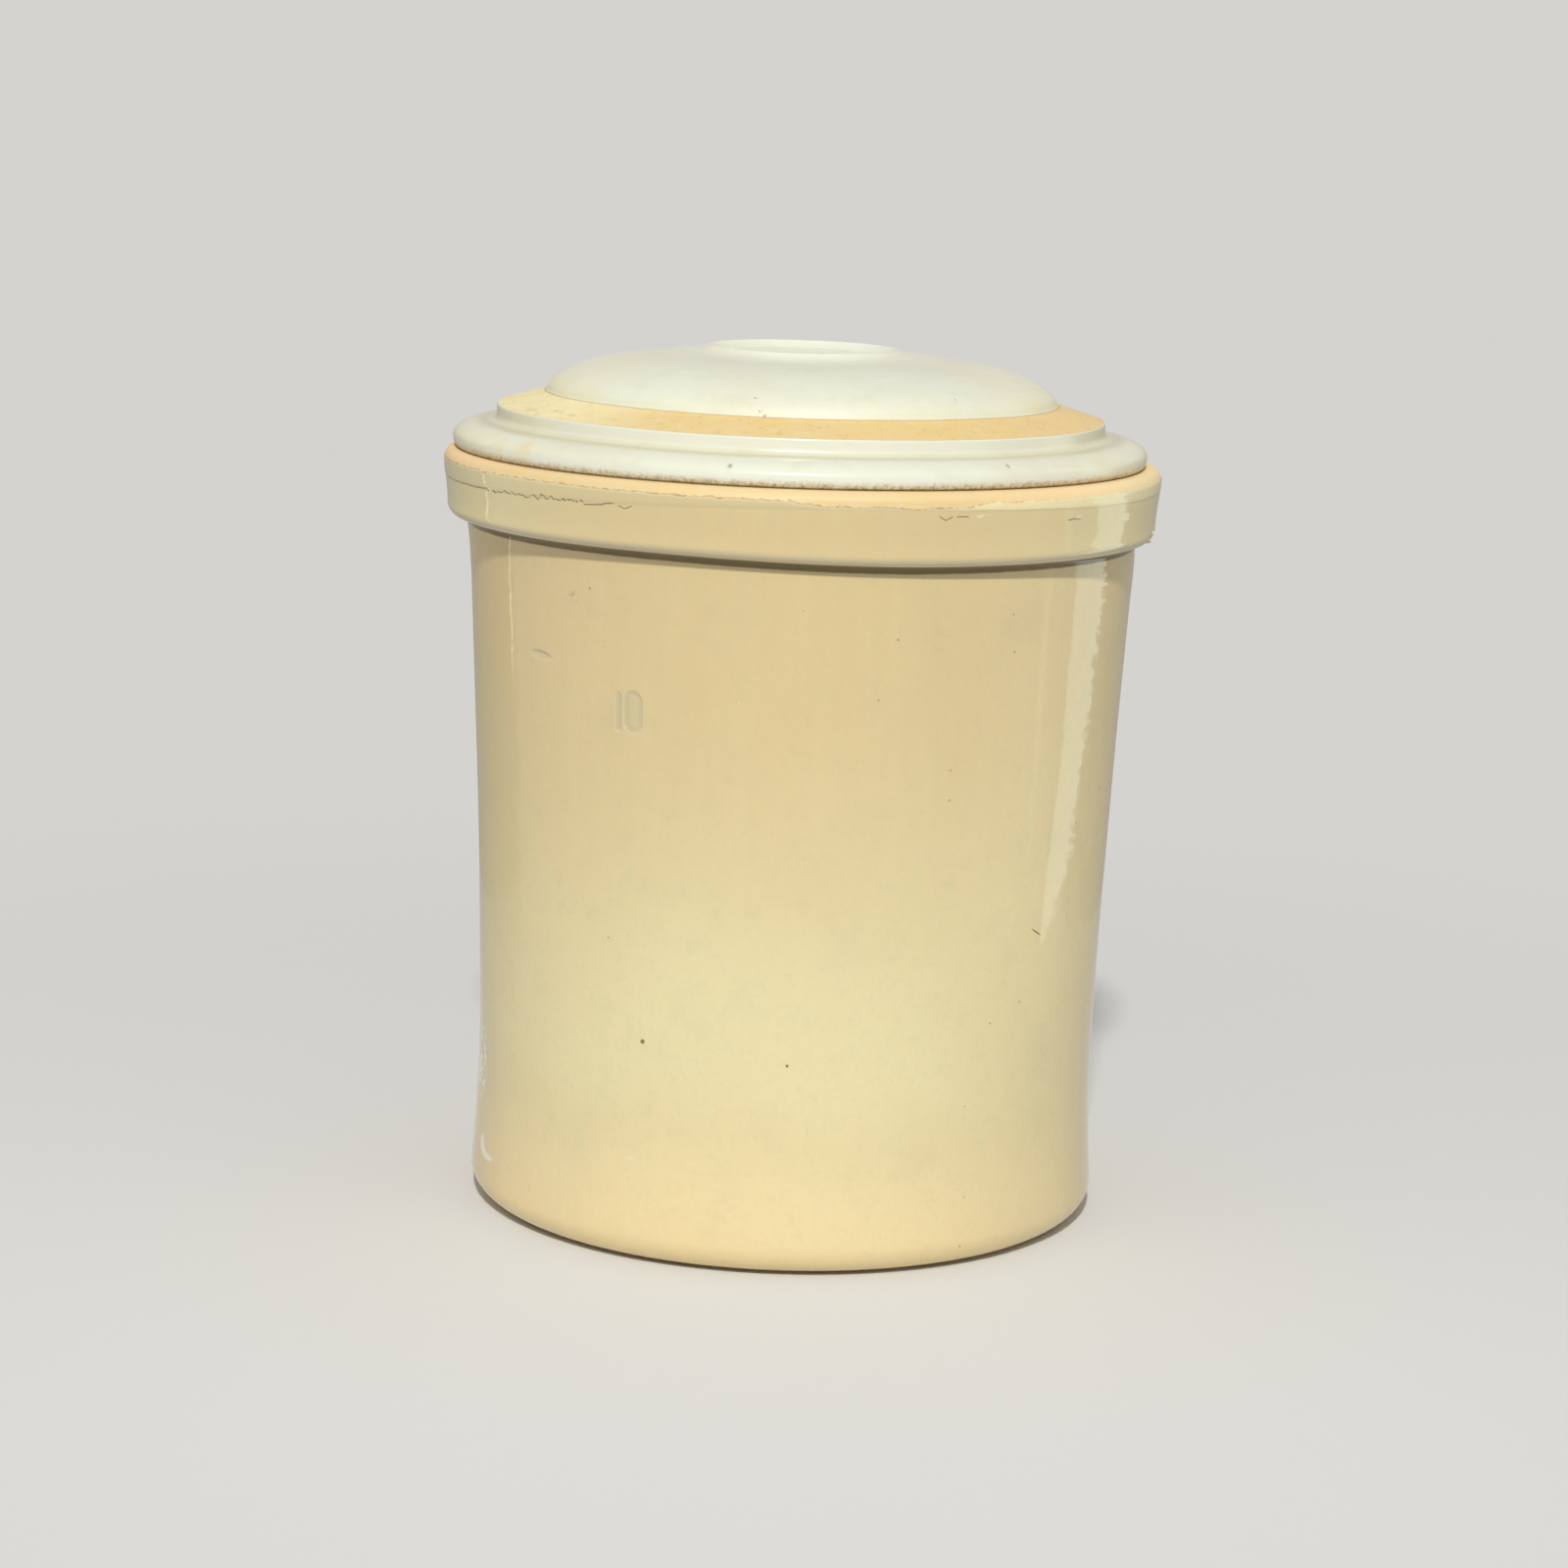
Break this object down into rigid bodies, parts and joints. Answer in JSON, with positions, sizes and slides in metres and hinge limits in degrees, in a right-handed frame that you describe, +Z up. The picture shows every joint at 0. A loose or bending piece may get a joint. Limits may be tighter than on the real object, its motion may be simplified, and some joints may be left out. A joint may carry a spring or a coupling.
{
  "type": "water seal pickle jar",
  "caption": "Straight-sided stoneware crock with a water channel in its collar, a stepped domed lid that seals in it and half moon weights inside.",
  "frame": {"origin": "middle of the flat base that the crock stands on", "axes": "+Z up along the axis that every piece is turned about; -Y is the side that faces the camera, +X to its right"},
  "size_m": [0.41, 0.4098, 0.4973],
  "materials": {
    "buff_glaze": "glossy warm buff glaze, bare peach clay on the collar's top and under the foot",
    "white_glaze": "glossy pale greenish white glaze with one bare buff ring",
    "bare_stoneware": "matt unglazed clay"
  },
  "bodies": {
    "crock": {"crock": "buff_glaze"},
    "lid": {"lid": "white_glaze"},
    "weight_left": {"weight_left": "bare_stoneware"},
    "weight_right": {"weight_right": "bare_stoneware"}
  },
  "joints": [
    {"name": "lid_lift", "type": "slide", "parent": "crock", "child": "lid", "axis": [0, 0, 1], "range_m": [0, 0.18]},
    {"name": "weight_left_lift", "type": "slide", "parent": "crock", "child": "weight_left", "axis": [0, 0, 1], "range_m": [0, 0.39]},
    {"name": "weight_right_lift", "type": "slide", "parent": "crock", "child": "weight_right", "axis": [0, 0, 1], "range_m": [0, 0.39]}
  ]
}
